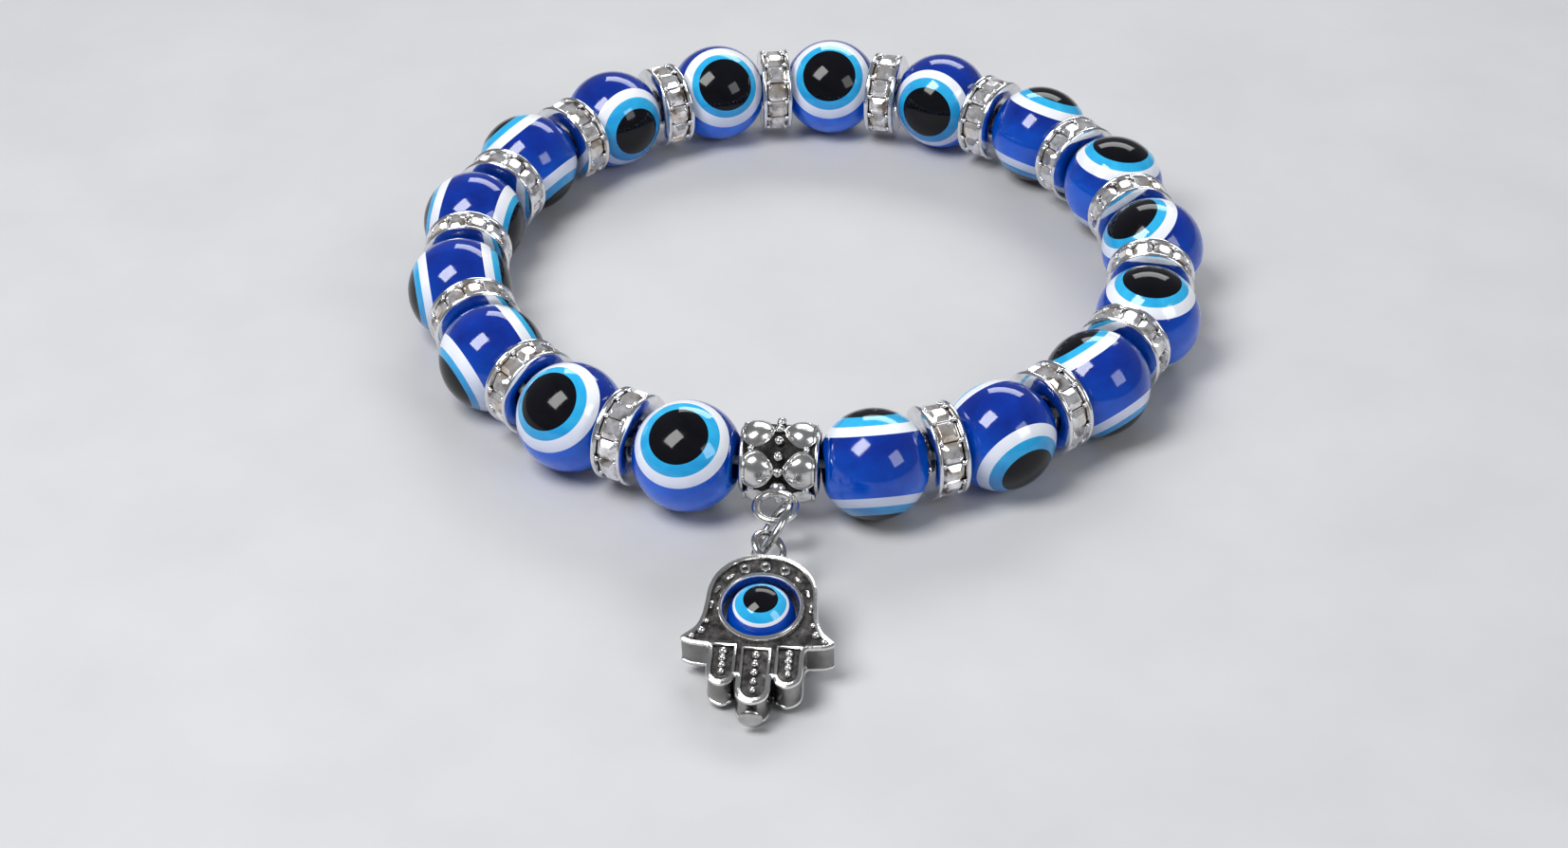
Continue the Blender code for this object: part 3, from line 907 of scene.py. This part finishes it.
def face_detail(bm, side):
    """Raised wires, grains, dashes and rings of one face."""
    z = side * FACE
    sunk = z - side * GRAIN_SINK
    rim = [p + z * Z for p in inset(smooth_path(outline_points(), 5), RIM_INSET)]
    tube(bm, rim, RIM_WIRE, 8, cyclic=True)
    for u, root, tip, half, count in FINGERS:
        leaf = [Vector((p.x + u, p.y, z)) for p in finger_outline(root, tip, half)]
        tube(bm, leaf, FINGER_WIRE, 8, cyclic=True)
        for i, v in enumerate(spread(count, root - 0.65, tip + 1.0)):
            pip(bm, Vector((u, v, sunk)), FINGER_GRAIN - GRAIN_STEP * i)
    for sign in (-1, 1):
        for u, v, size in THUMB_GRAINS:
            pip(bm, Vector((sign * u, v, z - 2 * side * GRAIN_SINK)), size)
        for degrees, length in ARCH_DASHES:
            a = math.radians(degrees)
            mid = Vector((sign * DASH_ACROSS * math.cos(a), DASH_UP * math.sin(a), sunk))
            dash(bm, mid, Vector((-sign * math.sin(a), math.cos(a), 0.0)) * length / 2)
    for degrees in ARCH_RINGS:
        small_ring(bm, around(RINGS_AT, math.radians(degrees), z))


def build_frame(matrix):
    bm = bmesh.new()
    plate(bm)
    for face in bm.faces:
        face.normal_update()
        # the flat faces get the patina, the side walls the darker silver of painted shade
        face.material_index = 1 if abs(face.normal.z) > 0.5 else 2
    lathe(bm, BEZEL, 72)
    for side in (-1, 1):
        face_detail(bm, side)
    mats, body = (ANTIQUE, PATINA, SHADED_SIDE), "hamsa_frame"
    finish_piece("hamsa_casting", bm, matrix, mats, body, body, 40.0)


def build_charm_eye(matrix):
    bm = eye_sphere(CHARM_EYE_R, CHARM_LAYERS)
    bm = drill(bm, Y, CHARM_EYE_BORE_R, CHARM_DRILL)
    body = "charm_eye_bead"
    finish_piece("charm_eye_resin", bm, matrix, RESINS, body, body, 40.0)


def build_hamsa():
    up = -HAMSA_DOWN
    turn = Matrix((X, up, X.cross(up))).transposed().to_4x4()
    matrix = Matrix.Translation(HAMSA_MIDDLE * MM) @ turn
    build_frame(matrix)
    build_charm_eye(matrix)


# ---------------------------------------------------------------- build

draw = random.Random(7)  # fixed, so that every run makes the same stones
for k in range(1, BEADS + 1):
    build_bead(k, draw)
for k in range(1, BEADS):
    build_spacer(k, draw)
build_root_cord()
build_bail()
build_jump_ring()
build_headpin()
build_hamsa()


# ---------------------------------------------------------------- stage


def stage_floor():
    bm = bmesh.new()
    bmesh.ops.create_grid(bm, x_segments=2, y_segments=2, size=3.0)
    floor = scene_object("floor", bm)
    n = Nodes("floor_paper")
    darker, paler = (0.50, 0.50, 0.51), (0.54, 0.54, 0.55)
    n.colour(n.ramp(n.noise(60.0, 4.0), ((0.3, darker), (0.7, paler))))
    n.set(Roughness=0.6)
    floor.data.materials.append(n.mat)


def soft_light(name, place, target, size_x, size_y, power, colour=(1.0, 1.0, 1.0)):
    lamp = bpy.data.lights.new(name, "AREA")
    lamp.shape = "RECTANGLE"
    lamp.size, lamp.size_y = size_x, size_y
    lamp.energy = power
    lamp.color = colour
    obj = bpy.data.objects.new(name, lamp)
    bpy.context.scene.collection.objects.link(obj)
    place, target = Vector(place), Vector(target)
    obj.location = place
    obj.rotation_euler = (target - place).to_track_quat("-Z", "Y").to_euler()


def stage_lights():
    aim = (0.0, 0.0, 0.005)
    soft_light("key_box", (-0.16, -0.12, 0.34), aim, 0.16, 0.22, 1.5)
    soft_light("fill_box", (0.34, -0.2, 0.26), aim, 0.2, 0.2, 0.55, (0.95, 0.97, 1.0))
    soft_light("back_box", (0.05, 0.42, 0.3), aim, 0.4, 0.16, 1.1)
    world = bpy.data.worlds.new("studio")
    bpy.context.scene.world = world
    world.use_nodes = True
    back = world.node_tree.nodes["Background"]
    back.inputs["Color"].default_value = (0.8, 0.83, 0.88, 1.0)
    back.inputs["Strength"].default_value = 0.24


# Camera about the centre of the bead loop: bearing, height and distance, lens for a 36 mm frame,
# and the image place of that centre in a 1653 x 894 image.
CAMERA_AZIMUTH = math.radians(4.2)
CAMERA_HEIGHT = math.radians(33.0)
CAMERA_DISTANCE = 0.29
CAMERA_FOCAL = 3120.0
CAMERA_CENTRE = (852.0, 269.0)
IMAGE_SIZE = (1653.0, 894.0)
SENSOR = 36.0


def stage_camera():
    data = bpy.data.cameras.new("camera")
    camera = bpy.data.objects.new("camera", data)
    bpy.context.scene.collection.objects.link(camera)
    a, e = CAMERA_AZIMUTH, CAMERA_HEIGHT
    forward = Vector((-math.sin(a) * math.cos(e), math.cos(a) * math.cos(e), -math.sin(e)))
    camera.location = CENTRE * MM - CAMERA_DISTANCE * forward
    camera.rotation_euler = forward.to_track_quat("-Z", "Y").to_euler()
    data.sensor_width = SENSOR
    data.lens = CAMERA_FOCAL * SENSOR / IMAGE_SIZE[0]
    data.shift_x = (IMAGE_SIZE[0] / 2 - CAMERA_CENTRE[0]) / IMAGE_SIZE[0]
    data.shift_y = (CAMERA_CENTRE[1] - IMAGE_SIZE[1] / 2) / IMAGE_SIZE[0]
    data.clip_start = 0.01
    bpy.context.scene.camera = camera


stage_floor()
stage_lights()
stage_camera()
bpy.context.scene.view_settings.view_transform = "Standard"
